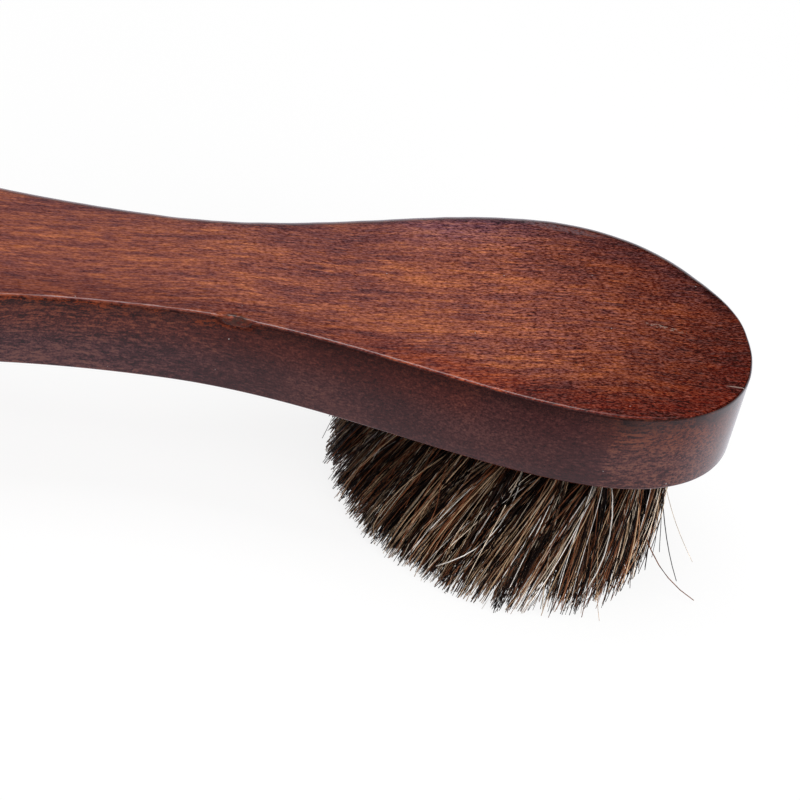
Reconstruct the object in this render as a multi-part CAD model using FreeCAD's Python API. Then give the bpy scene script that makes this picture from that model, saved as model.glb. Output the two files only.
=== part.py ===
# A handled shoe polish brush: a flat hardwood board with a round head that holds fanned tufts of horsehair.
# Each tuft sits in its own blind hole and is held by a flat wire anchor across the hole's bottom.
# Frame: +X towards the tip of the head, +Y across, +Z up through the flat back, hair ends at z = 0.
import FreeCAD, Part
import math
import os

# Handle, in millimetres; distances along it are measured back from the tip of the head.
overall_length = 170.0
head_width = 44.0
head_widest_from_tip = 20.6
waist_width = 22.3
waist_from_tip = 71.2
grip_width = 35.0
grip_widest_from_tip = 130.0
thickness_at_tip = 10.4
thickness_at_grip_end = 8.4
edge_round = 0.8
# Roundness of the two ends: a weight of 0.707 is an ellipse, and a larger one is fuller.
tip_fullness = 0.83
grip_end_fullness = 0.86
# Share of a flank's length over which the outline stays level at each end of it.
head_flank_level = 0.31
waist_flank_level = 0.38
grip_flank_level = 0.45

# Tufts: oval rings of blind holes about the head's widest place, fanned from a point above the handle.
# The margins run from the outline to the centres of the outermost holes.
first_ring_tufts = 6
tip_margin = 7.4
side_margin = 6.1
hole_diameter = 3.2
hole_depth = 6.0
hole_web = 0.35
fan_height = 50.0
fan_offset = 11.6
hair_length = 17.0

# Anchors: flat wire set across each hole, biting into the wood at both ends, with the folded hair under it.
anchor_bite = 0.35
anchor_height = 1.6
anchor_thickness = 0.35
fold_height = 0.8

# Clearances.
tuft_clearance = 0.05
anchor_clearance = 0.02
tuft_gap = 0.15
mouth_gap = 0.1

# Places worked out from the sizes above.
tip_x = overall_length / 2
tail_x = -overall_length / 2
patch_x = tip_x - head_widest_from_tip
patch_half_length = head_widest_from_tip - tip_margin
patch_half_width = head_width / 2 - side_margin
taper = (thickness_at_tip - thickness_at_grip_end) / overall_length
top_z = hair_length + thickness_at_tip - taper * (tip_x - patch_x)
fan_apex = FreeCAD.Vector(patch_x + fan_offset, 0, hair_length + fan_height)
hole_radius = hole_diameter / 2
shank_radius = hole_radius - tuft_clearance
anchor_length = hole_diameter + 2 * anchor_bite
full_turn = 360.0


def underside_z(x):
    """Height of the sloping underside at a place along the handle."""
    return top_z - thickness_at_tip + taper * (tip_x - x)


def half_outline(side):
    """Edges of one flank from the tip of the head to the end of the grip; side is +1 or -1."""
    head_x = tip_x - head_widest_from_tip
    waist_x = tip_x - waist_from_tip
    grip_x = tip_x - grip_widest_from_tip
    head_y = side * head_width / 2
    waist_y = side * waist_width / 2
    grip_y = side * grip_width / 2
    neck_run = head_x - waist_x
    grip_run = waist_x - grip_x
    poles = [
        [(tip_x, 0), (tip_x, head_y), (head_x, head_y)],
        [(head_x, head_y), (head_x - head_flank_level * neck_run, head_y),
         (waist_x + waist_flank_level * neck_run, waist_y), (waist_x, waist_y)],
        [(waist_x, waist_y), (waist_x - grip_flank_level * grip_run, waist_y),
         (grip_x + grip_flank_level * grip_run, grip_y), (grip_x, grip_y)],
        [(grip_x, grip_y), (tail_x, grip_y), (tail_x, 0)],
    ]
    curves = [bezier(points) for points in poles]
    middle_pole = 2
    curves[0].setWeight(middle_pole, tip_fullness)
    curves[-1].setWeight(middle_pole, grip_end_fullness)
    return [curve.toShape() for curve in curves]


def bezier(points):
    """A smooth curve on the back, from its first point to its last and drawn towards the ones between."""
    curve = Part.BezierCurve()
    curve.setPoles([FreeCAD.Vector(x, y, top_z) for x, y in points])
    return curve


def handle_block():
    """The sawn board with its sloping underside and rounded edges, before drilling."""
    edges = half_outline(1) + half_outline(-1)
    outline = Part.Wire(Part.__sortEdges__(edges))
    deepest = 2 * max(thickness_at_tip, thickness_at_grip_end)
    board = Part.Face(outline).extrude(FreeCAD.Vector(0, 0, -deepest))
    spare = deepest
    below = [
        (tip_x + spare, underside_z(tip_x + spare)),
        (tail_x - spare, underside_z(tail_x - spare)),
        (tail_x - spare, top_z - 2 * deepest),
        (tip_x + spare, top_z - 2 * deepest),
    ]
    widest = max(head_width, grip_width)
    corners = [FreeCAD.Vector(x, -widest, z) for x, z in below]
    waste = Part.Face(Part.makePolygon(corners + corners[:1])).extrude(FreeCAD.Vector(0, 2 * widest, 0))
    block = board.cut(waste)
    rims = [edge for edge in block.Edges if lies_flat(edge)]
    return block.makeFillet(edge_round, rims)


def lies_flat(edge):
    """True for an edge of the back or of the underside, false for an upright edge of the wall."""
    first, last = edge.ParameterRange
    middle = edge.valueAt((first + last) / 2)
    tolerance = 0.001
    return abs(middle.z - top_z) < tolerance or abs(middle.z - underside_z(middle.x)) < tolerance


def ring_count():
    """How many rings fit with at least hole_web of wood between the bottoms of the holes."""
    bottom_ratio = (fan_height - hole_depth) / fan_height
    return int(bottom_ratio * min(patch_half_length, patch_half_width) / (hole_diameter + hole_web))


def tuft_mouths():
    """Points where the hole axes leave the underside: one in the middle, then rings that grow outwards."""
    mouths = [FreeCAD.Vector(patch_x, 0, underside_z(patch_x))]
    for ring in range(1, ring_count() + 1):
        share = ring / ring_count()
        tufts = first_ring_tufts * ring
        for place in range(tufts):
            angle = 2 * math.pi * place / tufts
            x = patch_x + share * patch_half_length * math.cos(angle)
            y = share * patch_half_width * math.sin(angle)
            mouths.append(FreeCAD.Vector(x, y, underside_z(x)))
    return mouths


def fan_direction(mouth):
    """Unit vector along a hole, out of its mouth."""
    return (mouth - fan_apex).normalize()


def tilt(mouth):
    """Angle between a hole's axis and the vertical."""
    return math.acos(-fan_direction(mouth).z)


def along_hole(mouth):
    """Placement with its origin at the mouth, +Z out along the hole and +Y nearly across the handle."""
    out = fan_direction(mouth)
    across = FreeCAD.Vector(0, 1, 0)
    across = (across - out * across.dot(out)).normalize()
    side = across.cross(out)
    matrix = FreeCAD.Matrix(
        side.x, across.x, out.x, mouth.x,
        side.y, across.y, out.y, mouth.y,
        side.z, across.z, out.z, mouth.z,
        0, 0, 0, 1)
    return FreeCAD.Placement(matrix)


def placed(shape, mouth):
    """A shape drawn along +Z about the origin, set at a hole's mouth."""
    shape.Placement = along_hole(mouth)
    return shape


def hole(mouth):
    """The drilled blind hole, run out past the underside."""
    run_out = hole_radius * math.tan(tilt(mouth)) + mouth_gap
    bottom = FreeCAD.Vector(0, 0, -hole_depth)
    return placed(Part.makeCylinder(hole_radius, hole_depth + run_out, bottom), mouth)


def anchor(mouth, clearance):
    """The flat wire across a hole, or the pocket for it when a clearance is given."""
    size = [anchor_thickness + 2 * clearance, anchor_length + 2 * clearance, anchor_height + 2 * clearance]
    low_end = -hole_depth + tuft_clearance + fold_height - clearance
    corner = FreeCAD.Vector(-size[0] / 2, -size[1] / 2, low_end)
    return placed(Part.makeBox(size[0], size[1], size[2], corner), mouth)


def end_radius(mouths):
    """Radius of every tuft at its trimmed end, so that neighbours in the fan stay apart."""
    spread = (fan_height + hair_length) / fan_height
    spacing = spread * min(patch_half_length, patch_half_width) / ring_count()
    steepest = max(tilt(mouth) for mouth in mouths)
    return (spacing - tuft_gap) / 2 * math.cos(steepest)


def tuft(mouth, tip_radius):
    """A bundle of hair: a shank in the hole, flaring outside it, trimmed level and slotted for its anchor."""
    flare_start = shank_radius * math.tan(tilt(mouth)) + mouth_gap
    trim = mouth.z / math.cos(tilt(mouth))
    growth = (tip_radius - shank_radius) / (trim - flare_start)
    end = trim + 2 * tip_radius * math.tan(tilt(mouth)) + mouth_gap
    profile = [
        (0, -hole_depth + tuft_clearance),
        (shank_radius, -hole_depth + tuft_clearance),
        (shank_radius, flare_start),
        (shank_radius + growth * (end - flare_start), end),
        (0, end),
    ]
    corners = [FreeCAD.Vector(r, 0, s) for r, s in profile]
    section = Part.Face(Part.makePolygon(corners + corners[:1]))
    bundle = section.revolve(FreeCAD.Vector(0, 0, 0), FreeCAD.Vector(0, 0, 1), full_turn)
    bundle = placed(bundle, mouth)
    reach = overall_length
    clippings = Part.makeBox(2 * reach, 2 * reach, reach, FreeCAD.Vector(-reach, -reach, -reach))
    return bundle.cut(clippings).cut(anchor(mouth, anchor_clearance))


def main():
    os.makedirs("parts", exist_ok=True)
    mouths = tuft_mouths()
    cutters = [hole(mouth) for mouth in mouths] + [anchor(mouth, anchor_clearance) for mouth in mouths]
    handle = handle_block().cut(cutters)
    handle.exportStep("parts/handle.step")
    anchors = Part.makeCompound([anchor(mouth, 0) for mouth in mouths])
    anchors.exportStep("parts/tuft_anchors.step")
    tip_radius = end_radius(mouths)
    for number, mouth in enumerate(mouths, start=1):
        tuft(mouth, tip_radius).exportStep(f"parts/tuft_{number:02d}.step")
    print("tufts", len(mouths), "tip radius", round(tip_radius, 3), "height", round(top_z, 3))


main()
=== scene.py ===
# A handled shoe brush, dressed: a stained and lacquered wooden handle with tufts of trimmed horsehair.
# Everything is worked out in millimetres in the part's own frame, and turned into metres as a mesh is made.
import math
import random

import bmesh
import bpy
from mathutils import Matrix, Vector, noise
from mathutils.kdtree import KDTree


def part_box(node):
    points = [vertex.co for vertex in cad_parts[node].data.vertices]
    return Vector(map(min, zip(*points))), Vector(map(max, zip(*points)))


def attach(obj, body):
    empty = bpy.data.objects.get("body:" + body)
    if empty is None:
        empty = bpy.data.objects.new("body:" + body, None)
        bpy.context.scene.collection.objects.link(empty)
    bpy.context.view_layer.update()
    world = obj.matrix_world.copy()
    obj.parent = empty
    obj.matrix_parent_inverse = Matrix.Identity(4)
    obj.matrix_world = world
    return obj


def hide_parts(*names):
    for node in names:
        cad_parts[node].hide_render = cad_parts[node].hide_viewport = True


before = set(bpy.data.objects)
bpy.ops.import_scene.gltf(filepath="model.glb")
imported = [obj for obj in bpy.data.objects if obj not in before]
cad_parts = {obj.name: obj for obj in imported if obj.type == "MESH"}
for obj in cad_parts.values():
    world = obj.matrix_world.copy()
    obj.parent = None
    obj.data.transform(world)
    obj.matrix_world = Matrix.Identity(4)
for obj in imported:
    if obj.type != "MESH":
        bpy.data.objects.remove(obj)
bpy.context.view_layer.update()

MM = 0.001

# Handle, in millimetres, as in the part; distances along it run back from the tip of the head.
handle_low, handle_high = [Vector(corner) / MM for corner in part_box("handle")]
tip_x = handle_high.x
tail_x = handle_low.x
top_z = handle_high.z
head_width = handle_high.y - handle_low.y
head_widest_from_tip = 20.6
waist_width = 22.3
waist_from_tip = 71.2
grip_width = 35.0
grip_widest_from_tip = 130.0
thickness_at_tip = 10.4
thickness_at_grip_end = 8.4
tip_fullness = 0.83
grip_end_fullness = 0.86
head_flank_level = 0.31
waist_flank_level = 0.38
grip_flank_level = 0.45
# Edges: crisp towards the viewer, sanded rounder on the far side.
near_edge_round = 0.42
far_edge_round = 2.6
bottom_edge_round = 0.35
far_edge_facing = 0.6
edge_wobble = 0.12
edge_wobbles_per_mm = 0.35
outline_spacing = 0.5
# A small dent in the near edge.
dent_start = Vector((19.3, -11.2, top_z))
dent_end = Vector((21.4, -11.6, top_z))
dent_radius = 0.9
dent_depth = 0.4
dent_push = Vector((0, 0.95, -0.3))
dent_roughness = 0.7
dent_bumps_per_mm = 2.6

# Tufts, as in the part.
ring_count = 3
first_ring_tufts = 6
tip_margin = 7.4
side_margin = 6.1
hole_diameter = 3.2
hole_depth = 6.0
fan_height = 50.0
fan_offset = 11.6
hair_length = 17.0

# Hair.
hairs_per_tuft = 500
wisps_per_tuft = 12
hair_sides = 3
hair_spans = 9
hair_thinnest = 0.09
hair_thickest = 0.18
hair_seed = 4127
# Each tuft splays out of its hole until it meets its neighbours, so that the trimmed ends fill one oval.
# It is combed towards the grip, and only the tufts nearest the tip stand upright.
root_clearance = 0.12
root_radius = hole_diameter / 2 - root_clearance
trim_centre_x = 59.5
trim_half_length = 20.4
trim_half_width = 26.1
combed_lean = 0.64
combed_from_x = 58.0
upright_from_x = 77.0
tuft_reach = 7.0
tuft_overlap = 4.6
root_mixing = 0.6
wisp_pull = 0.42
sway = 0.95
trim_spread = 0.25
short_share = 0.08
flyaway_share = 0.2
crossing_share = 0.03
# How far hairs drift from their paths: at the rim, and more further in. Crossing hairs drift only inside.
settled_wander = 0.5
settled_wander_inside = 0.4
flyaway_wander = 1.0
flyaway_wander_inside = 1.6
crossing_wander = 4.5
wander_rim = 0.7
# A hair's path: how deep it starts, then shares of its fall, its tuft's lean and its splay at its bends.
root_shallowest = 2.0
root_deepest = 4.5
first_bend_fall = 0.22
first_bend_lean = 0.28
first_bend_splay = 0.46
second_bend_fall = 0.62
second_bend_lean = 0.76
second_bend_splay = 0.77
second_bend_drift = 1.25
end_drift = 0.5
# Trimmed ends: how far they stand off the table, also the short hairs and the ragged ones at the rim.
trim_lift = 0.05
short_lift_least = 0.8
short_lift_most = 4.0
ragged_rim = 0.75
ragged_rarity = 1.6
ragged_lift = 0.6
ragged_tip_lift = 6.0
ragged_tip_from_x = 60.0
ragged_tip_to_x = 78.0
# Finish of a hair: thinner towards its end, with painted shade that makes it darker at its root and lighter
# towards its end, and each in its own tone.
end_thinning = 0.3
painted_root_shade = 0.4
painted_shade_gain = 0.8
darkest_tone = 0.7
lightest_tone = 1.3

patch_x = tip_x - head_widest_from_tip
patch_half_length = head_widest_from_tip - tip_margin
patch_half_width = head_width / 2 - side_margin
taper = (thickness_at_tip - thickness_at_grip_end) / (tip_x - tail_x)
fan_apex = Vector((patch_x + fan_offset, 0, hair_length + fan_height))
fan_spread = fan_apex.z / fan_height


def underside_z(x):
    """Height of the handle's sloping underside at a place along it."""
    return top_z - thickness_at_tip + taper * (tip_x - x)


def smooth_step(low, high, value):
    """0 below low, 1 above high and a smooth rise between them."""
    share = min(max((value - low) / (high - low), 0.0), 1.0)
    return share * share * (3 - 2 * share)


def mesh_object(name, mesh, material, slot, *nodes):
    """A piece that rides on the brush, stands for the given CAD nodes and takes the given material. The slot
    is not used.
    """
    piece = bpy.data.objects.new(name, mesh)
    bpy.context.collection.objects.link(piece)
    mesh.materials.append(material)
    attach(piece, "root")
    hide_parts(*nodes)
    return piece


# Handle outline

def end_arc(start, corner, end, fullness, steps=80):
    """Points of a rounded end, without the last one."""
    points = []
    for step in range(steps):
        t = step / steps
        weights = ((1 - t) ** 2, 2 * fullness * t * (1 - t), t * t)
        total = start * weights[0] + corner * weights[1] + end * weights[2]
        points.append(total / sum(weights))
    return points


def flank(start, end, start_level, end_level, steps=80):
    """Points of a side that starts and ends parallel to the handle, without the last one."""
    run = end.x - start.x
    leave = start + Vector((start_level * run, 0))
    reach = end - Vector((end_level * run, 0))
    points = []
    for step in range(steps):
        t = step / steps
        u = 1 - t
        points.append(start * u ** 3 + leave * (3 * u * u * t) + reach * (3 * u * t * t) + end * t ** 3)
    return points


def half_outline():
    """Points of the far side from the tip of the head to the end of the grip."""
    tip = Vector((tip_x, 0))
    head = Vector((tip_x - head_widest_from_tip, head_width / 2))
    waist = Vector((tip_x - waist_from_tip, waist_width / 2))
    grip = Vector((tip_x - grip_widest_from_tip, grip_width / 2))
    tail = Vector((tail_x, 0))
    points = end_arc(tip, Vector((tip.x, head.y)), head, tip_fullness)
    points += flank(head, waist, head_flank_level, waist_flank_level)
    points += flank(waist, grip, grip_flank_level, grip_flank_level)
    points += end_arc(grip, Vector((tail.x, grip.y)), tail, grip_end_fullness)
    return points + [tail]


def evenly_spaced(points, spacing):
    """The same line with its points at equal distances along it."""
    lengths = [0.0]
    for before, after in zip(points, points[1:]):
        lengths.append(lengths[-1] + (after - before).length)
    count = round(lengths[-1] / spacing)
    spaced = []
    span = 0
    for step in range(count):
        wanted = lengths[-1] * step / count
        while lengths[span + 1] < wanted:
            span += 1
        share = (wanted - lengths[span]) / (lengths[span + 1] - lengths[span])
        spaced.append(points[span].lerp(points[span + 1], share))
    return spaced + [points[-1]]


def full_outline():
    """The closed outline from the tip along the far side to the tail and back, with its outward normals."""
    far = evenly_spaced(half_outline(), outline_spacing)
    near = [Vector((point.x, -point.y)) for point in reversed(far[1:-1])]
    loop = far + near
    normals = []
    for index in range(len(loop)):
        along = loop[(index + 1) % len(loop)] - loop[index - 1]
        normals.append(Vector((-along.y, along.x)).normalized() * -1)
    return loop, normals


# Handle mesh

def edge_round(point, normal):
    """Radius of the top edge: smallest on the near side, where it also wavers a little."""
    share = smooth_step(0.0, far_edge_facing, normal.y)
    slice_of_noise = 3.0
    spot = Vector((point.x * edge_wobbles_per_mm, point.y * edge_wobbles_per_mm, slice_of_noise))
    wobble = edge_wobble * noise.noise(spot)
    return near_edge_round + wobble + (far_edge_round - near_edge_round) * share


def ring(loop, normals, shape):
    """One ring of the skin; shape gives the inset and the height at a point of the outline."""
    points = []
    for point, normal in zip(loop, normals):
        inset, z = shape(point, edge_round(point, normal))
        place = point - normal * inset
        points.append(dented(Vector((place.x, place.y, z))))
    return points


def dented(point):
    """The point, pushed in where the dent in the near edge is."""
    along = dent_end - dent_start
    share = min(max((point - dent_start).dot(along) / along.length_squared, 0.0), 1.0)
    distance = (point - dent_start - along * share).length
    if distance > dent_radius:
        return point
    rough = 1 + dent_roughness * noise.noise(point * dent_bumps_per_mm)
    depth = dent_depth * (1 - (distance / dent_radius) ** 2) * rough
    return point + dent_push * depth


def skin_rings(loop, normals):
    """Rings from the middle of the back, over the top edge, down the wall and under the bottom edge."""
    def back(extra):
        return lambda point, radius: (radius + extra, top_z)

    def level(inset, height):
        return lambda point, radius: (inset, height(point))

    def top_edge(angle):
        return lambda point, radius: (radius * (1 - math.sin(angle)), top_z - radius * (1 - math.cos(angle)))

    def wall(share):
        def shape(point, radius):
            high = top_z - radius
            low = underside_z(point.x) + bottom_edge_round
            return 0.0, high + (low - high) * share
        return shape

    def bottom_edge(angle):
        lift = bottom_edge_round * (1 - math.sin(angle))
        inset = bottom_edge_round * (1 - math.cos(angle))
        return lambda point, radius: (inset, underside_z(point.x) + lift)

    edge_steps = 6
    wall_steps = 12
    angles = [math.pi / 2 * step / edge_steps for step in range(edge_steps + 1)]
    crowding_upwards = 1.6
    inner_inset = 4.5
    insets_from_top_edge = (1.0, 0.4)
    insets_from_bottom_edge = (1.0, 2.5)
    shapes = [level(inner_inset, lambda point: top_z)]
    shapes += [back(inset) for inset in insets_from_top_edge]
    shapes += [top_edge(angle) for angle in angles]
    shapes += [wall((step / wall_steps) ** crowding_upwards) for step in range(1, wall_steps)]
    shapes += [bottom_edge(angle) for angle in angles]
    shapes += [level(inset, lambda point: underside_z(point.x)) for inset in insets_from_bottom_edge]
    return [ring(loop, normals, shape) for shape in shapes]


def fill_across(mesh, loop, columns):
    """Closes a ring with rows of faces from its far side to its near side."""
    half = len(loop) // 2
    rows = []
    for index in range(1, half):
        far, near = loop[index], loop[-index]
        inner = [mesh.verts.new(far.co.lerp(near.co, step / columns)) for step in range(1, columns)]
        rows.append([far] + inner + [near])
    for row, following in zip(rows, rows[1:]):
        for column in range(columns):
            mesh.faces.new((row[column], following[column], following[column + 1], row[column + 1]))
    for column in range(columns):
        mesh.faces.new((loop[0], rows[0][column], rows[0][column + 1]))
        mesh.faces.new((loop[half], rows[-1][column + 1], rows[-1][column]))


def handle_mesh():
    """The handle's whole skin, before its holes are cut."""
    loop, normals = full_outline()
    mesh = bmesh.new()
    rings = [[mesh.verts.new(point) for point in points] for points in skin_rings(loop, normals)]
    for upper, lower in zip(rings, rings[1:]):
        for index in range(len(loop)):
            mesh.faces.new((upper[index - 1], lower[index - 1], lower[index], upper[index]))
    columns = 24
    fill_across(mesh, rings[0], columns)
    fill_across(mesh, rings[-1], columns)
    bmesh.ops.recalc_face_normals(mesh, faces=mesh.faces)
    for face in mesh.faces:
        face.smooth = True
    bmesh.ops.scale(mesh, vec=(MM, MM, MM), verts=mesh.verts)
    finished = bpy.data.meshes.new("handle_skin")
    mesh.to_mesh(finished)
    mesh.free()
    return finished


# Tuft holes

def tuft_mouths():
    """Points where the tufts leave the underside: one in the middle, then rings that grow outwards."""
    mouths = [Vector((patch_x, 0, underside_z(patch_x)))]
    for ring_number in range(1, ring_count + 1):
        share = ring_number / ring_count
        tufts = first_ring_tufts * ring_number
        for place in range(tufts):
            angle = 2 * math.pi * place / tufts
            x = patch_x + share * patch_half_length * math.cos(angle)
            y = share * patch_half_width * math.sin(angle)
            mouths.append(Vector((x, y, underside_z(x))))
    return mouths


def hole_axes(mouth):
    """Unit vectors across, along the handle and out of a tuft's hole."""
    out = (mouth - fan_apex).normalized()
    across = Vector((0, 1, 0))
    across = (across - out * across.dot(out)).normalized()
    return across.cross(out), across, out


def hole_cutter(mouths):
    """All the blind holes as one mesh, a little longer than the holes at their mouths."""
    run_out = 2.0
    hole_sides = 32
    mesh = bmesh.new()
    for mouth in mouths:
        side, across, out = hole_axes(mouth)
        centre = mouth + out * (run_out - hole_depth) / 2
        turn = Matrix((side, across, out)).transposed().to_4x4()
        bmesh.ops.create_cone(
            mesh, cap_ends=True, segments=hole_sides, radius1=hole_diameter / 2, radius2=hole_diameter / 2,
            depth=hole_depth + run_out, matrix=Matrix.Translation(centre) @ turn)
    bmesh.ops.scale(mesh, vec=(MM, MM, MM), verts=mesh.verts)
    finished = bpy.data.meshes.new("tuft_holes")
    mesh.to_mesh(finished)
    mesh.free()
    return finished


def drilled(mesh, cutter_mesh):
    """The mesh with the cutter's shapes taken out of it, and its flat underside shaded flat."""
    body = bpy.data.objects.new("blank", mesh)
    cutter = bpy.data.objects.new("cutter", cutter_mesh)
    for thing in (body, cutter):
        bpy.context.collection.objects.link(thing)
    cut = body.modifiers.new("holes", "BOOLEAN")
    cut.operation = "DIFFERENCE"
    cut.solver = "EXACT"
    cut.object = cutter
    shapes = bpy.context.evaluated_depsgraph_get()
    result = bpy.data.meshes.new_from_object(body.evaluated_get(shapes))
    for thing in (body, cutter):
        bpy.data.objects.remove(thing)
    straight_down = -0.999
    for face in result.polygons:
        face.use_smooth = face.normal.z > straight_down
    return result


def mark_edges(mesh):
    """Stores at each point how far it lies from the outline, and which way the outline faces there."""
    loop, normals = full_outline()
    places = KDTree(len(loop))
    for index, point in enumerate(loop):
        places.insert((point.x, point.y, 0), index)
    places.balance()
    distances = []
    sides = []
    for vertex in mesh.vertices:
        place = vertex.co / MM
        _, index, distance = places.find((place.x, place.y, 0))
        distances.append(distance)
        sides.append(normals[index].y)
    for name, values in (("edge_distance", distances), ("edge_side", sides)):
        mesh.attributes.new(name, "FLOAT", "POINT").data.foreach_set("value", values)


# Hair

black_hair = (0.006, 0.004, 0.004)
dark_hair = (0.032, 0.017, 0.013)
chestnut_hair = (0.240, 0.084, 0.038)
brown_hair = (0.310, 0.160, 0.088)
tan_hair = (0.560, 0.370, 0.225)
cream_hair = (0.800, 0.650, 0.500)
white_hair = (0.900, 0.840, 0.790)
hair_shares = [
    (0.32, black_hair),
    (0.20, dark_hair),
    (0.17, chestnut_hair),
    (0.09, brown_hair),
    (0.10, tan_hair),
    (0.08, cream_hair),
    (0.04, white_hair),
]

# Single hairs that stand out: two bends, the end, the thickness and the colour.
stray_hairs = [
    ((73.2, -14.5, 8.0), (76.3, -16.3, 2.4), (82.0, -18.5, 0.5), 0.17, chestnut_hair),
    ((77.0, -11.5, 9.5), (78.0, -12.5, 5.0), (80.5, -15.0, 0.6), 0.16, black_hair),
    ((78.0, -11.0, 8.0), (81.0, -10.5, 4.0), (83.5, -10.5, 0.6), 0.09, cream_hair),
    ((77.5, -10.5, 9.0), (78.0, -11.0, 5.0), (78.7, -11.3, 2.0), 0.14, black_hair),
    ((69.5, -20.0, 13.0), (69.0, -23.0, 4.0), (64.5, -23.8, 0.5), 0.22, white_hair),
    ((61.5, -21.5, 10.0), (61.0, -23.5, 4.0), (62.0, -24.2, 0.5), 0.19, cream_hair),
    ((59.5, -20.0, 13.0), (58.5, -21.0, 7.0), (57.0, -22.5, 2.0), 0.19, white_hair),
    ((57.0, -21.0, 9.0), (53.0, -22.2, 6.0), (48.5, -22.0, 3.5), 0.18, white_hair),
    ((67.0, -22.0, 8.0), (68.0, -23.0, 3.0), (69.0, -24.6, 0.2), 0.10, tan_hair),
    ((46.0, -12.0, 11.0), (50.0, -17.0, 9.0), (47.0, -18.0, 6.0), 0.13, chestnut_hair),
]


def pick_colour(chance):
    """A hair's colour, drawn from the mixed coat."""
    shares = [share for share, colour in hair_shares]
    colour = chance.choices(hair_shares, weights=shares)[0][1]
    tone = chance.uniform(darkest_tone, lightest_tone)
    return [channel * tone for channel in colour]


def bezier_points(start, leave, reach, end, spans):
    """Points along a cubic curve, both ends included."""
    points = []
    for step in range(spans + 1):
        t = step / spans
        u = 1 - t
        points.append(start * u ** 3 + leave * (3 * u * u * t) + reach * (3 * u * t * t) + end * t ** 3)
    return points


class HairMesh:
    """Collects hairs as thin tubes, with a colour for each and a place of its own in the UV map."""

    def __init__(self):
        self.points = []
        self.faces = []
        self.colours = []
        self.hairs = 0

    def add(self, line, thickness, colour):
        """One hair along the line, thinner towards its end, with painted shade that lightens it from its
        root to its end.
        """
        first = len(self.points)
        last = len(line) - 1
        for index, centre in enumerate(line):
            along = (line[min(index + 1, last)] - line[max(index - 1, 0)]).normalized()
            side = along.orthogonal().normalized()
            other = along.cross(side)
            radius = thickness / 2 * (1 - end_thinning * (index / last) ** 2)
            # Painted shade: the hair's colour darkened at its root and lightened towards its end.
            shade = painted_root_shade + painted_shade_gain * index / last
            for corner in range(hair_sides):
                angle = 2 * math.pi * corner / hair_sides
                outwards = side * math.cos(angle) + other * math.sin(angle)
                self.points.append((centre + outwards * radius) * MM)
                self.colours.append([channel * shade for channel in colour] + [1.0])
        for index in range(last):
            for corner in range(hair_sides):
                turn = (corner + 1) % hair_sides
                low = first + index * hair_sides
                high = low + hair_sides
                self.faces.append((low + corner, low + turn, high + turn, high + corner))
        self.faces.append(tuple(first + corner for corner in reversed(range(hair_sides))))
        self.faces.append(tuple(first + last * hair_sides + corner for corner in range(hair_sides)))
        self.hairs += 1

    def finished(self, name):
        """The hairs as one mesh."""
        mesh = bpy.data.meshes.new(name)
        mesh.from_pydata(self.points, [], self.faces)
        shade = mesh.attributes.new("hair_colour_with_painted_shade", "FLOAT_COLOR", "POINT")
        shade.data.foreach_set("color", [channel for colour in self.colours for channel in colour])
        mesh.polygons.foreach_set("use_smooth", [True] * len(mesh.polygons))
        self.unwrap(mesh)
        mesh.update()
        return mesh

    def unwrap(self, mesh):
        """Gives each hair its own cell of a square grid, wrapped round and laid out along its length."""
        cells = math.ceil(math.sqrt(self.hairs))
        faces_per_hair = len(self.faces) // self.hairs
        fill = 0.8
        uv = mesh.uv_layers.new(name="OFBake").data
        for number, face in enumerate(mesh.polygons):
            hair, part = divmod(number, faces_per_hair)
            index, corner = divmod(part, hair_sides)
            column, row = hair % cells, hair // cells
            spots = [(corner, index), (corner + 1, index), (corner + 1, index + 1), (corner, index + 1)]
            if index >= hair_spans:
                end = hair_spans if corner else 0
                spots = [(1, end), (2, end), (3, end), (4, end)]
            for loop, (across, along) in zip(face.loop_indices, spots):
                u = (column + fill * across / hair_sides + (1 - fill) / 2) / cells
                v = (row + fill * along / hair_spans + (1 - fill) / 2) / cells
                uv[loop].uv = (u, v)


def trim_centre(mouth):
    """Where the middle of a tuft meets the table."""
    lean = combed_lean * (smooth_step(combed_from_x, upright_from_x, mouth.x) - 1)
    return Vector((mouth.x + lean * mouth.z, mouth.y * fan_spread, 0))


def rim_share(spot):
    """How far out a spot lies in the oval of trimmed ends: 0 in its middle and 1 at its rim."""
    return math.hypot((spot.x - trim_centre_x) / trim_half_length, spot.y / trim_half_width)


def end_spot(centre, neighbours, chance):
    """A place for one hair's end: in the oval, and nearer to its own tuft than to others, or nearly so."""
    while True:
        angle = chance.uniform(0, 2 * math.pi)
        offset = tuft_reach * math.sqrt(chance.random())
        spot = centre + Vector((math.cos(angle), math.sin(angle), 0)) * offset
        nearest = min((spot - other).length for other in neighbours)
        if rim_share(spot) < 1 and offset < nearest + tuft_overlap:
            return spot


def trim_height(spot, chance):
    """Height at which a hair ends: nearly level, and more ragged at the rim and towards the tip."""
    height = trim_lift + abs(chance.gauss(0, trim_spread))
    if chance.random() < short_share:
        height += chance.uniform(short_lift_least, short_lift_most)
    ragged = smooth_step(ragged_rim, 1.0, rim_share(spot))
    towards_tip = smooth_step(ragged_tip_from_x, ragged_tip_to_x, spot.x)
    return height + chance.random() ** ragged_rarity * ragged * (ragged_lift + ragged_tip_lift * towards_tip)


def any_way(chance):
    """A drawn step aside, along the handle and across it."""
    return Vector((chance.gauss(0, sway), chance.gauss(0, sway), 0))


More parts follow.
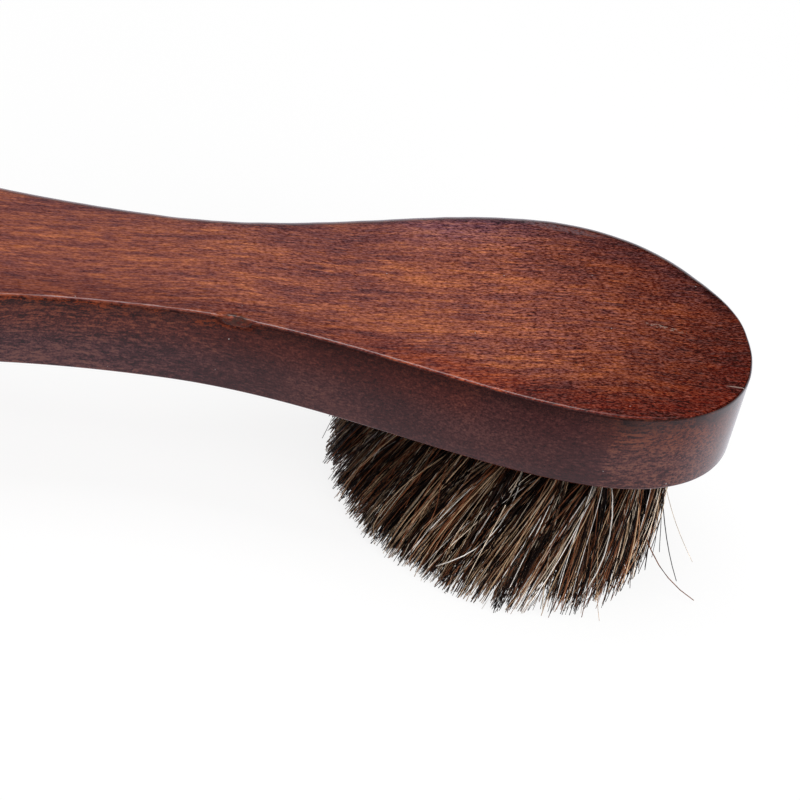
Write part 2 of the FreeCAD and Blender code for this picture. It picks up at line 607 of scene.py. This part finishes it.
def hair_line(mouth, centre, wisps, spot, chance):
    """The path of one hair, from inside its hole to its trimmed end, steeper towards the end."""
    side, across, out = hole_axes(mouth)
    angle = chance.uniform(0, 2 * math.pi)
    anywhere = Vector((math.cos(angle), math.sin(angle), 0)) * math.sqrt(chance.random())
    offset = ((spot - centre) / tuft_reach).lerp(anywhere, root_mixing)
    leaves = mouth + (side * offset.x + across * offset.y) * root_radius
    root = leaves - out * chance.uniform(root_shallowest, root_deepest)
    wisp = min(wisps, key=lambda other: (other - spot).length)
    inside = 1 - smooth_step(wander_rim, 1.0, rim_share(spot))
    looseness = chance.random()
    wander = settled_wander + settled_wander_inside * inside
    if looseness < crossing_share:
        wander = crossing_wander * inside
    elif looseness < flyaway_share:
        wander = flyaway_wander + flyaway_wander_inside * inside
    drift = any_way(chance) * wander
    end = spot.lerp(wisp, chance.uniform(0, wisp_pull)) + drift * end_drift
    end = end.lerp(leaves, trim_height(spot, chance) / leaves.z)
    fall = end.z - leaves.z
    lean = centre - mouth
    splay = spot - centre
    first_bend = leaves + lean * first_bend_lean + splay * first_bend_splay + any_way(chance)
    first_bend.z = leaves.z + fall * first_bend_fall
    second_bend = leaves + lean * second_bend_lean + splay * second_bend_splay + drift * second_bend_drift
    second_bend.z = leaves.z + fall * second_bend_fall
    return [root] + bezier_points(leaves, first_bend, second_bend, end, hair_spans - 1)


def nearest_mouth(mouths, point):
    """The tuft that a stray hair grows from."""
    return min(mouths, key=lambda mouth: (mouth.xy - point.xy).length)


def tuft_piece(number, mouths, material):
    """One tuft of hair in its hole, with the stray hairs that grow from it."""
    chance = random.Random(hair_seed + number)
    mouth = mouths[number - 1]
    centre = trim_centre(mouth)
    others = [trim_centre(other) for other in mouths if other is not mouth]
    neighbours = [other for other in others if (other - centre).length < 3 * tuft_reach]
    wisps = [end_spot(centre, neighbours, chance) for _ in range(wisps_per_tuft)]
    hair = HairMesh()
    for _ in range(hairs_per_tuft):
        line = hair_line(mouth, centre, wisps, end_spot(centre, neighbours, chance), chance)
        hair.add(line, chance.uniform(hair_thinnest, hair_thickest), pick_colour(chance))
    for leave, reach, end, thickness, colour in stray_hairs:
        bends = [Vector(point) for point in (leave, reach, end)]
        if nearest_mouth(mouths, bends[0]) is mouth:
            hair.add(bezier_points(mouth, *bends, hair_spans), thickness, colour)
    name = f"hair_{number:02d}"
    return mesh_object(name, hair.finished(name), material, "horsehair", f"tuft_{number:02d}")


# Shader helpers

def add(tree, kind, inputs=None, **settings):
    """Adds a node, sets its options and fills its inputs with values or with other nodes' outputs."""
    node = tree.nodes.new(kind)
    for name, value in settings.items():
        setattr(node, name, value)
    for key, value in (inputs or {}).items():
        if isinstance(value, bpy.types.NodeSocket):
            tree.links.new(value, node.inputs[key])
        else:
            node.inputs[key].default_value = value
    return node


def new_material(name):
    """An empty material, its tree and its Principled shader."""
    material = bpy.data.materials.new(name)
    material.use_nodes = True
    tree = material.node_tree
    return material, tree, tree.nodes["Principled BSDF"]


def millimetres(tree):
    """Place on the object, in millimetres."""
    place = add(tree, "ShaderNodeTexCoord").outputs["Object"]
    return add(tree, "ShaderNodeVectorMath", {0: place, "Scale": 1 / MM}, operation="SCALE").outputs[0]


def noise_at(tree, place, per_mm, detail=2.0, roughness=0.5, distortion=0.0):
    """Noise whose grain is stretched by the given number of features per millimetre along each axis."""
    stretched = add(tree, "ShaderNodeMapping", {"Vector": place, "Scale": per_mm})
    return add(tree, "ShaderNodeTexNoise", {
        "Vector": stretched.outputs[0], "Scale": 1.0, "Detail": detail, "Roughness": roughness,
        "Distortion": distortion}).outputs["Fac"]


def mask(tree, value, low, high):
    """0 where the value is low, 1 where it is high, smooth between."""
    return add(tree, "ShaderNodeMapRange", {"Value": value, "From Min": low, "From Max": high},
               interpolation_type="SMOOTHSTEP").outputs[0]


def maths(tree, operation, first, second=0.0):
    """One sum on two values."""
    return add(tree, "ShaderNodeMath", {0: first, 1: second}, operation=operation).outputs[0]


def blend(tree, share, first, second, mode="MIX"):
    """One colour over another."""
    node = add(tree, "ShaderNodeMix", data_type="RGBA", blend_type=mode)
    for socket, value in ((node.inputs[0], share), (node.inputs[6], first), (node.inputs[7], second)):
        if isinstance(value, bpy.types.NodeSocket):
            tree.links.new(value, socket)
        elif isinstance(value, float):
            socket.default_value = value
        else:
            socket.default_value = (*value, 1.0)
    return node.outputs[2]


def ramp(tree, value, stops):
    """Colours along a value; stops are pairs of a place from 0 to 1 and a colour."""
    node = add(tree, "ShaderNodeValToRGB", {"Fac": value})
    elements = node.color_ramp.elements
    while len(elements) < len(stops):
        elements.new(0.5)
    for element, (place, colour) in zip(elements, stops):
        element.position = place
        element.color = (*colour, 1.0)
    return node.outputs["Color"]


def vector_maths(tree, operation, first, second):
    """One sum on two vectors."""
    return add(tree, "ShaderNodeVectorMath", {0: first, 1: second}, operation=operation).outputs[0]


def inverse(tree, share):
    """What a share leaves of 1."""
    return maths(tree, "SUBTRACT", 1.0, share)


def weighted(tree, parts):
    """The sum of values, each times its share."""
    total = 0.0
    for value, share in parts:
        total = maths(tree, "ADD", maths(tree, "MULTIPLY", value, share), total)
    return total


def between(tree, value, low, high, soft):
    """1 from low to high, fading to 0 over the soft distance outside."""
    rise = mask(tree, value, low - soft, low)
    fall = inverse(tree, mask(tree, value, high, high + soft))
    return maths(tree, "MULTIPLY", rise, fall)


def times(tree, *values):
    """The product of several values."""
    total = values[0]
    for value in values[1:]:
        total = maths(tree, "MULTIPLY", total, value)
    return total


# Materials

# Stretches of the handle over which its finish and its painted light change, in millimetres along it.
grip_ends = (5.0, 30.0)
grip_wall_ends = (2.0, 26.0)
bare_edge_ends = (17.0, 26.0)
neck_widens = (25.0, 50.0)
far_head_starts = (38.0, 52.0)
head_starts = (40.0, 58.0)
tip_wall_darkens = (60.0, 66.0)
end_grain_starts = (64.2, 66.0)
edge_wear_and_highlight_ends = (66.0, 76.0)
tip_edge_starts = (72.0, 78.0)
calm_wall_from = 51.0
calm_wall_to = 60.0
calm_wall_fade = 5.0
# Stretches of the wall, from where a tint begins to where it is full, in millimetres below the back.
upper_wall = (6.5, 2.5)
soaked_wall = (3.0, 1.0)
painted_wall_shade = (2.6, 0.6)
bare_edge_height = 1.2
bare_edge_fade = 0.8
# Bands along the back's edges, in millimetres from the outline: full to the first, none past the second.
far_tint_band = (3.0, 11.0)
near_tint_band = (2.0, 6.5)
rounding_band = (1.5, 3.4)


def grain_place(tree, place):
    """Place on the board as the grain runs: turned a little from the handle's length, and wandering."""
    grain_tilt = math.radians(-7)
    wander_per_mm = 0.035
    wander_reach = (0, 4.0, 4.0)
    turned = add(tree, "ShaderNodeMapping", {"Vector": place, "Rotation": (0, 0, grain_tilt)}).outputs[0]
    wander = add(tree, "ShaderNodeTexNoise", {"Vector": turned, "Scale": wander_per_mm, "Detail": 1.0})
    drift = vector_maths(tree, "SUBTRACT", wander.outputs["Color"], (0.5, 0.5, 0.5))
    return vector_maths(tree, "ADD", turned, vector_maths(tree, "MULTIPLY", drift, wander_reach))


def wood_tones(tree, place):
    """Tones of the wood about one half: stain and painted glints of the back, fine and bold figure of the
    sides.
    """
    grain = grain_place(tree, place)
    specks = noise_at(tree, grain, (4.2, 5.6, 5.6), 1.0, 0.5)
    flecks = noise_at(tree, grain, (1.2, 4.6, 4.6), 2.0, 0.6)
    dashes = noise_at(tree, grain, (0.38, 2.9, 2.9), 2.0, 0.55)
    streaks = noise_at(tree, grain, (0.06, 0.9, 0.9), 2.0, 0.5)
    clouds = noise_at(tree, grain, (0.05, 0.11, 0.11), 3.0, 0.6)
    stain = weighted(tree, ((flecks, 0.20), (dashes, 0.40), (streaks, 0.28), (clouds, 0.26), (1.0, -0.07)))
    glints = noise_at(tree, grain, (2.0, 4.6, 4.6), 2.0, 0.7)
    fine = weighted(tree, ((specks, 0.22), (flecks, 0.30), (dashes, 0.22), (clouds, 0.26)))
    bold = weighted(tree, ((specks, 0.20), (flecks, 0.34), (dashes, 0.26), (streaks, 0.10), (clouds, 0.10)))
    return stain, glints, fine, bold


def wood_pores(tree, place):
    """1 in the short open pores along the grain, 0 between them."""
    pores = noise_at(tree, grain_place(tree, place), (0.9, 7.0, 7.0), 1.0)
    return mask(tree, pores, 0.58, 0.66)


# Marks on the handle: a scuff, a scratch at the tip, a pale strip along the far edge that is partly abraded
# finish and partly painted reflection, and the dent's wood painted dark as painted shade.
# Each has its middle, its half sizes, its turn in degrees, its colour, its share, and how broken up it is.
marks = [
    ((74.4, -1.2, top_z), (3.4, 0.55, 0.5), -12.6, (0.46, 0.32, 0.26), 0.75, 0.52),
    ((80.9, -12.5, top_z), (1.6, 0.12, 0.5), 0.0, (0.55, 0.42, 0.36), 0.7, 0.3),
    # Partly abraded finish and partly painted reflection: the pale purplish strip along the far edge.
    ((64.5, 18.9, top_z), (7.5, 0.9, 1.5), -8.0, (0.20, 0.135, 0.15), 0.55, 0.42),
    # Painted shade: the wood in the dent painted dark.
    ((20.3, -11.4, top_z), (1.9, 1.2, 1.2), -10.0, (0.040, 0.019, 0.014), 0.9, 0.40),
]


def mark_share(tree, place, middle, half_sizes, turn, broken):
    """1 in an oval mark, 0 outside it, broken up by specks."""
    local = add(tree, "ShaderNodeMapping", {
        "Vector": place, "Location": middle, "Rotation": (0, 0, math.radians(turn)), "Scale": half_sizes},
        vector_type="TEXTURE").outputs[0]
    reach = add(tree, "ShaderNodeVectorMath", {0: local}, operation="LENGTH").outputs["Value"]
    specks = noise_at(tree, place, (2.2, 3.5, 3.5), 2.0)
    core = 0.5
    softness = 0.1
    inside = inverse(tree, mask(tree, reach, core, 1.0))
    return times(tree, inside, mask(tree, specks, broken, broken + softness))


def stained(tree, stain):
    """Orange brown stained wood, from its dark streaks to its light ones."""
    return ramp(tree, stain, [
        (0.38, (0.116, 0.032, 0.030)),
        (0.42, (0.158, 0.041, 0.034)),
        (0.46, (0.212, 0.055, 0.039)),
        (0.50, (0.275, 0.074, 0.044)),
        (0.54, (0.352, 0.098, 0.048)),
        (0.58, (0.440, 0.126, 0.052)),
        (0.62, (0.540, 0.160, 0.057)),
    ])


def back_wood(tree, stain, glints, x, y, patches, edge_distance, far_side, near_side):
    """The back: orange brown on the grip and neck, redder and darker towards the tip and at both edges, with
    painted glints and a painted sheen and shade along the far edge.
    """
    red_from_x = 49.0
    red_run = 36.0
    red_half_width = 30.0
    tip_red = (0.42, 0.25, 0.17)
    along = maths(tree, "DIVIDE", maths(tree, "SUBTRACT", x, red_from_x), red_run)
    aside = maths(tree, "POWER", maths(tree, "ABSOLUTE", maths(tree, "DIVIDE", y, red_half_width)), 2.0)
    depth = weighted(tree, ((along, 1.0), (aside, 1.0), (patches, 0.5), (1.0, -0.25)))
    colour = blend(tree, mask(tree, depth, 0.15, 1.0), stained(tree, stain), tip_red, "MULTIPLY")

    # Painted sheen and shade: the back's far band tinted purplish on the head, as the lacquer's grazing
    # reflection looks, and a little darker on the grip.
    far_band = inverse(tree, mask(tree, edge_distance, *far_tint_band))
    far_painted_sheen = blend(tree, mask(tree, x, *far_head_starts), (0.88, 0.90, 1.00), (0.88, 1.10, 1.95))
    colour = blend(tree, times(tree, far_band, far_side), colour, far_painted_sheen, "MULTIPLY")
    near_band = inverse(tree, mask(tree, edge_distance, *near_tint_band))
    near_tint = blend(tree, mask(tree, x, *neck_widens), (0.64, 0.56, 0.58), (0.84, 0.56, 0.40))
    colour = blend(tree, times(tree, near_band, near_side), colour, near_tint, "MULTIPLY")

    past_grip = mask(tree, x, *grip_ends)
    on_head = mask(tree, x, *head_starts)
    # Painted glints: fine flecks of the lacquer's gloss lightened and darkened in the colour, stronger past
    # the grip and on the head.
    strength = weighted(tree, ((past_grip, 1.1), (on_head, 1.1), (1.0, 1.7)))
    glint = times(tree, maths(tree, "SUBTRACT", glints, 0.5), strength)
    least_glint = (0.06, 0.06, 0.06)
    darkest = (0.020, 0.005, 0.003)
    pale = blend(tree, 1.0, colour, least_glint, "ADD")
    colour = blend(tree, 1.0, colour, blend(tree, 1.0, pale, glint, "MULTIPLY"), "ADD")
    colour = blend(tree, 1.0, colour, darkest, "LIGHTEN")

    # Painted shade: the far rounded edge darkened and tinted purple.
    far_rounding_painted_shade = (0.40, 0.33, 0.37)
    rounding = inverse(tree, mask(tree, edge_distance, *rounding_band))
    return blend(tree, times(tree, rounding, far_side), colour, far_rounding_painted_shade, "MULTIPLY")


def below_back(tree, z, start, full):
    """0 further below the back than start, 1 nearer to it than full."""
    return mask(tree, z, top_z - start, top_z - full)


def side_wood_with_painted_shade(tree, fine, bold, x, z, patches, near_side):
    """The sides: dark and calm, partly from darker stain and partly from painted shade, livelier on the grip
    and in the end grain at the tip.
    """
    end_grain = mask(tree, maths(tree, "ADD", x, patches), *end_grain_starts)
    on_grip = inverse(tree, mask(tree, x, *grip_wall_ends))
    lively = maths(tree, "MAXIMUM", end_grain, on_grip)
    tone = maths(tree, "ADD", times(tree, bold, lively), times(tree, fine, inverse(tree, lively)))
    strength = weighted(tree, ((on_grip, 0.65), (end_grain, 0.75), (1.0, 0.75)))
    tone = times(tree, maths(tree, "SUBTRACT", tone, 0.5), strength)
    tone = weighted(tree, ((tone, 1.0), (lively, 0.03), (end_grain, 0.02), (1.0, 0.5)))
    colour = ramp(tree, tone, [
        (0.40, (0.016, 0.003, 0.004)),
        (0.50, (0.042, 0.010, 0.011)),
        (0.56, (0.082, 0.025, 0.023)),
        (0.64, (0.142, 0.052, 0.035)),
    ])
    upper = below_back(tree, z, *upper_wall)
    lower = inverse(tree, upper)
    soaked = times(tree, below_back(tree, z, *soaked_wall), mask(tree, patches, 0.42, 0.58))
    calm = between(tree, x, calm_wall_from, calm_wall_to, calm_wall_fade)
    redness = weighted(tree, ((calm, -0.8), (1.0, 1.0)))
    tints = [
        (times(tree, soaked, end_grain), (0.45, 0.40, 0.45)),
        (times(tree, upper, redness), (1.24, 0.92, 0.70)),
        (times(tree, lower, inverse(tree, mask(tree, x, *grip_ends))), (0.84, 0.84, 1.0)),
        (times(tree, upper, mask(tree, x, *tip_wall_darkens)), (0.74, 0.70, 0.66)),
        # Painted shade: the wall darkened just under the back.
        (below_back(tree, z, *painted_wall_shade), (0.58, 0.55, 0.52)),
    ]
    for share, tint in tints:
        colour = blend(tree, share, colour, tint, "MULTIPLY")
    bare_wood = (0.170, 0.028, 0.007)
    at_edge = between(tree, z, top_z - bare_edge_height, top_z, bare_edge_fade)
    up_to_neck = inverse(tree, mask(tree, x, *bare_edge_ends))
    flaked = times(tree, mask(tree, patches, 0.36, 0.54), mask(tree, bold, 0.45, 0.55))
    return blend(tree, times(tree, at_edge, near_side, flaked, up_to_neck), colour, bare_wood)


def edge_wear_and_painted_light(tree, colour, x, facing_z, patches, near_side):
    """The near edge made pale, partly by rubbing and partly as a painted highlight, less so on the head, and
    the edge round the tip darkened with painted shade.
    """
    # Rubbing and a painted highlight: the pale line along the near edge's rounding, less past the neck and
    # towards the tip.
    worn_and_highlit_wood = (0.300, 0.190, 0.190)
    on_edge = between(tree, facing_z, 0.79, 0.9, 0.06)
    past_neck = mask(tree, x, *neck_widens)
    near_tip = mask(tree, x, *edge_wear_and_highlight_ends)
    wear_and_highlight = weighted(tree, ((past_neck, -0.35), (near_tip, -0.25), (1.0, 0.6)))
    rubbed_and_highlit = times(tree, on_edge, near_side, mask(tree, patches, 0.25, 0.6), wear_and_highlight)
    colour = blend(tree, rubbed_and_highlit, colour, worn_and_highlit_wood)
    # Painted shade: the rounded edge round the tip darkened.
    painted_tip_shade = (0.35, 0.30, 0.33)
    tip_edge = times(tree, between(tree, facing_z, 0.2, 0.93, 0.06), mask(tree, x, *tip_edge_starts))
    return blend(tree, tip_edge, colour, painted_tip_shade, "MULTIPLY")


def marked(tree, colour, place):
    """The colour with the handle's marks over it."""
    for middle, half_sizes, turn, mark_colour, share, broken in marks:
        here = mark_share(tree, place, middle, half_sizes, turn, broken)
        colour = blend(tree, times(tree, here, share), colour, mark_colour)
    return colour


def dusty(tree, colour, place):
    """The colour with fine pale specks of dust over it."""
    specks_per_mm = 0.32
    speck_cover = 0.7
    dust_colour = (0.60, 0.55, 0.54)
    dust = add(tree, "ShaderNodeTexVoronoi", {"Vector": place, "Scale": specks_per_mm}).outputs["Distance"]
    dust_share = inverse(tree, mask(tree, dust, 0.02, 0.035))
    return blend(tree, times(tree, dust_share, speck_cover), colour, dust_colour)


def wood_material():
    """Stained hardwood under lacquer: grain, clouded stain, painted glints, sides darker by stain and by
    painted shade, edges pale from rubbing and painted highlight, marks and dust.
    """
    material, tree, shader = new_material("stained_wood")
    place = millimetres(tree)
    x, y, z = add(tree, "ShaderNodeSeparateXYZ", {0: place}).outputs
    facing = add(tree, "ShaderNodeNewGeometry").outputs["Normal"]
    facing_z = add(tree, "ShaderNodeSeparateXYZ", {0: facing}).outputs["Z"]
    edge_distance = add(tree, "ShaderNodeAttribute", attribute_name="edge_distance").outputs["Fac"]
    edge_side = add(tree, "ShaderNodeAttribute", attribute_name="edge_side").outputs["Fac"]
    far_side = mask(tree, edge_side, 0.0, 0.35)
    near_side = mask(tree, maths(tree, "MULTIPLY", edge_side, -1.0), 0.05, 0.3)
    patches = noise_at(tree, place, (0.25, 0.4, 0.4), 2.0)
    stain, glints, fine, bold = wood_tones(tree, place)
    back_colour = back_wood(tree, stain, glints, x, y, patches, edge_distance, far_side, near_side)
    shaded_side_colour = side_wood_with_painted_shade(tree, fine, bold, x, z, patches, near_side)
    # Surfaces that turn away from the back take the side colour, darker partly by stain and partly by
    # painted shade.
    colour = blend(tree, mask(tree, facing_z, 0.3, 0.75), shaded_side_colour, back_colour)
    under_shade = (0.66, 0.60, 0.58)
    under_colour = blend(tree, 1.0, stained(tree, stain), under_shade, "MULTIPLY")
    colour = blend(tree, mask(tree, facing_z, -0.4, -0.8), colour, under_colour)
    colour = edge_wear_and_painted_light(tree, colour, x, facing_z, patches, near_side)
    colour = dusty(tree, marked(tree, colour, place), place)
    tree.links.new(colour, shader.inputs["Base Color"])
    pore_depth = 0.03 * MM
    bump = add(tree, "ShaderNodeBump", {
        "Height": wood_pores(tree, place), "Strength": 0.12, "Distance": -pore_depth})
    tree.links.new(bump.outputs[0], shader.inputs["Normal"])
    shader.inputs["Roughness"].default_value = 0.5
    shader.inputs["Specular IOR Level"].default_value = 0.0
    shader.inputs["Coat Weight"].default_value = 1.0
    shader.inputs["Coat Roughness"].default_value = 0.16
    return material


def hair_material():
    """Horsehair: each hair's own colour with its painted root shade, a little uneven along its length."""
    material, tree, shader = new_material("horsehair")
    own = add(tree, "ShaderNodeAttribute", attribute_name="hair_colour_with_painted_shade").outputs["Color"]
    uneven = noise_at(tree, millimetres(tree), (0.8, 0.8, 0.35), 2.0)
    shade = ramp(tree, uneven, [(0.3, (0.6, 0.6, 0.6)), (0.7, (1.2, 1.2, 1.2))])
    tree.links.new(blend(tree, 1.0, own, shade, "MULTIPLY"), shader.inputs["Base Color"])
    shader.inputs["Roughness"].default_value = 0.4
    shader.inputs["Specular IOR Level"].default_value = 0.07
    return material


def steel_material():
    """Drawn flat wire of the anchors in the holes."""
    material, tree, shader = new_material("anchor_steel")
    drawn = noise_at(tree, millimetres(tree), (6.0, 0.4, 6.0), 2.0)
    colour = ramp(tree, drawn, [(0.3, (0.32, 0.32, 0.33)), (0.7, (0.52, 0.52, 0.53))])
    tree.links.new(colour, shader.inputs["Base Color"])
    shader.inputs["Metallic"].default_value = 1.0
    shader.inputs["Roughness"].default_value = 0.35
    return material


# Studio

def seen_directly(tree):
    """1 for what the camera sees, directly or through a gloss or glass, and 0 for light on the object."""
    path = add(tree, "ShaderNodeLightPath").outputs
    share = maths(tree, "MAXIMUM", path["Is Camera Ray"], path["Is Glossy Ray"])
    return maths(tree, "MAXIMUM", share, path["Is Transmission Ray"])


def floor_piece():
    """A plain pale floor that reads as white, keeps a soft shadow and fades to grey in the lacquer."""
    half_size = 3.0
    mesh = bpy.data.meshes.new("floor")
    corners = [(-half_size, -half_size, 0), (half_size, -half_size, 0), (half_size, half_size, 0)]
    mesh.from_pydata(corners + [(-half_size, half_size, 0)], [], [(0, 1, 2, 3)])
    floor = bpy.data.objects.new("floor", mesh)
    bpy.context.collection.objects.link(floor)
    material, tree, shader = new_material("pale_floor")
    speckle = noise_at(tree, millimetres(tree), (0.02, 0.02, 0.02))
    colour = ramp(tree, speckle, [(0.3, (0.80, 0.80, 0.80)), (0.7, (0.82, 0.82, 0.82))])
    tree.links.new(colour, shader.inputs["Base Color"])
    shader.inputs["Roughness"].default_value = 0.9
    shader.inputs["Specular IOR Level"].default_value = 0.1
    right, behind, _ = add(tree, "ShaderNodeSeparateXYZ", {0: millimetres(tree)}).outputs
    fade_start = -54.4
    fade_run = 82
    fade_slant = 0.19
    fade = weighted(tree, (
        (behind, 1 / fade_run), (right, fade_slant / fade_run), (1.0, -fade_start / fade_run)))
    front = ramp(tree, fade, [
        (0.00, (0.09, 0.09, 0.09)),
        (0.10, (0.42, 0.41, 0.43)),
        (0.20, (0.66, 0.64, 0.69)),
        (0.50, (0.60, 0.58, 0.63)),
        (0.75, (0.85, 0.84, 0.92)),
        (1.00, (0.93, 0.93, 1.00)),
    ])
    far_tone = (0.60, 0.58, 0.68)
    mirrored = blend(tree, mask(tree, behind, 28.0, 55.0), front, far_tone)
    camera = add(tree, "ShaderNodeLightPath").outputs["Is Camera Ray"]
    pale = blend(tree, camera, mirrored, (1.0, 1.0, 1.0))
    white = add(tree, "ShaderNodeEmission", {"Color": pale, "Strength": 1.08})
    shadow_share = 0.2
    share = maths(tree, "SUBTRACT", seen_directly(tree), times(tree, camera, shadow_share))
    mixed = add(tree, "ShaderNodeMixShader", {0: share, 1: shader.outputs[0], 2: white.outputs[0]})
    tree.links.new(mixed.outputs[0], tree.nodes["Material Output"].inputs["Surface"])
    mesh.materials.append(material)


def studio_world():
    """White where it is seen, a dimmer ceiling in reflections, and low even light on the object."""
    world = bpy.data.worlds.new("studio")
    bpy.context.scene.world = world
    world.use_nodes = True
    tree = world.node_tree
    tree.nodes.clear()
    direction = add(tree, "ShaderNodeTexCoord").outputs["Generated"]
    across, _, height = add(tree, "ShaderNodeSeparateXYZ", {0: direction}).outputs
    dim = (0.19, 0.19, 0.23)
    dark = (0.01, 0.01, 0.01)
    ceiling = ramp(tree, mask(tree, across, 0.255, 0.31), [(0.0, dim), (1.0, dark)])
    reflected = blend(tree, mask(tree, height, 0.0, 0.22), (1.0, 1.0, 1.0), ceiling)
    camera = add(tree, "ShaderNodeLightPath").outputs["Is Camera Ray"]
    seen = blend(tree, camera, reflected, (1.0, 1.0, 1.0))
    backdrop = add(tree, "ShaderNodeBackground", {"Color": seen, "Strength": 1.0})
    light = add(tree, "ShaderNodeBackground", {"Color": (1.0, 1.0, 1.0, 1.0), "Strength": 0.25})
    mixed = add(tree, "ShaderNodeMixShader",
                {0: seen_directly(tree), 1: light.outputs[0], 2: backdrop.outputs[0]})
    output = add(tree, "ShaderNodeOutputWorld")
    tree.links.new(mixed.outputs[0], output.inputs["Surface"])


def softbox(name, place, aim, size, power, mirrored=True):
    """A square area lamp that faces the point it is aimed at, mirrored in the lacquer or not."""
    lamp = bpy.data.lights.new(name, "AREA")
    lamp.size = size
    lamp.energy = power
    stand = bpy.data.objects.new(name, lamp)
    bpy.context.collection.objects.link(stand)
    stand.location = place
    stand.rotation_euler = (Vector(aim) - Vector(place)).to_track_quat("-Z", "Y").to_euler()
    stand.visible_glossy = mirrored


def photo_camera():
    """The photograph's view: a long lens, from the front left and above, rolled to the right."""
    azimuth, elevation, roll = (math.radians(angle) for angle in (-17.764, 31.0, 16.528))
    tip_right_of_middle = 41.545
    tip_above_middle = 7.969
    distance = 597.897
    back = Vector((math.sin(azimuth) * math.cos(elevation),
                   -math.cos(azimuth) * math.cos(elevation), math.sin(elevation)))
    right = Vector((math.cos(azimuth), math.sin(azimuth), 0))
    up = back.cross(right)
    rolled_right = right * math.cos(roll) + up * math.sin(roll)
    rolled_up = up * math.cos(roll) - right * math.sin(roll)
    tip = Vector((tip_x, 0, top_z))
    eye = tip - rolled_right * tip_right_of_middle - rolled_up * tip_above_middle + back * distance
    camera = bpy.data.cameras.new("camera")
    camera.lens = 225.0
    camera.sensor_width = 36.0
    camera.clip_end = 20.0
    stand = bpy.data.objects.new("camera", camera)
    bpy.context.collection.objects.link(stand)
    turn = Matrix((rolled_right, rolled_up, back)).transposed().to_4x4()
    stand.matrix_world = Matrix.Translation(eye * MM) @ turn
    bpy.context.scene.camera = stand


def main():
    wood, horsehair, steel = wood_material(), hair_material(), steel_material()
    mouths = tuft_mouths()
    skin = drilled(handle_mesh(), hole_cutter(mouths))
    mark_edges(skin)
    mesh_object("wooden_handle", skin, wood, "stained_wood", "handle")
    for number in range(1, len(mouths) + 1):
        tuft_piece(number, mouths, horsehair)
    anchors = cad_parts["tuft_anchors"]
    anchors.data.materials.clear()
    anchors.data.materials.append(steel)
    floor_piece()
    studio_world()
    middle = (0.03, 0, 0)
    softbox("overhead", place=(0.03, 0.05, 0.95), aim=middle, size=0.5, power=2.9)
    softbox("front_fill", place=(0.54, -1.03, 0.6), aim=middle, size=1.0, power=15.2, mirrored=False)
    photo_camera()
    bpy.context.scene.view_settings.view_transform = "Standard"


main()
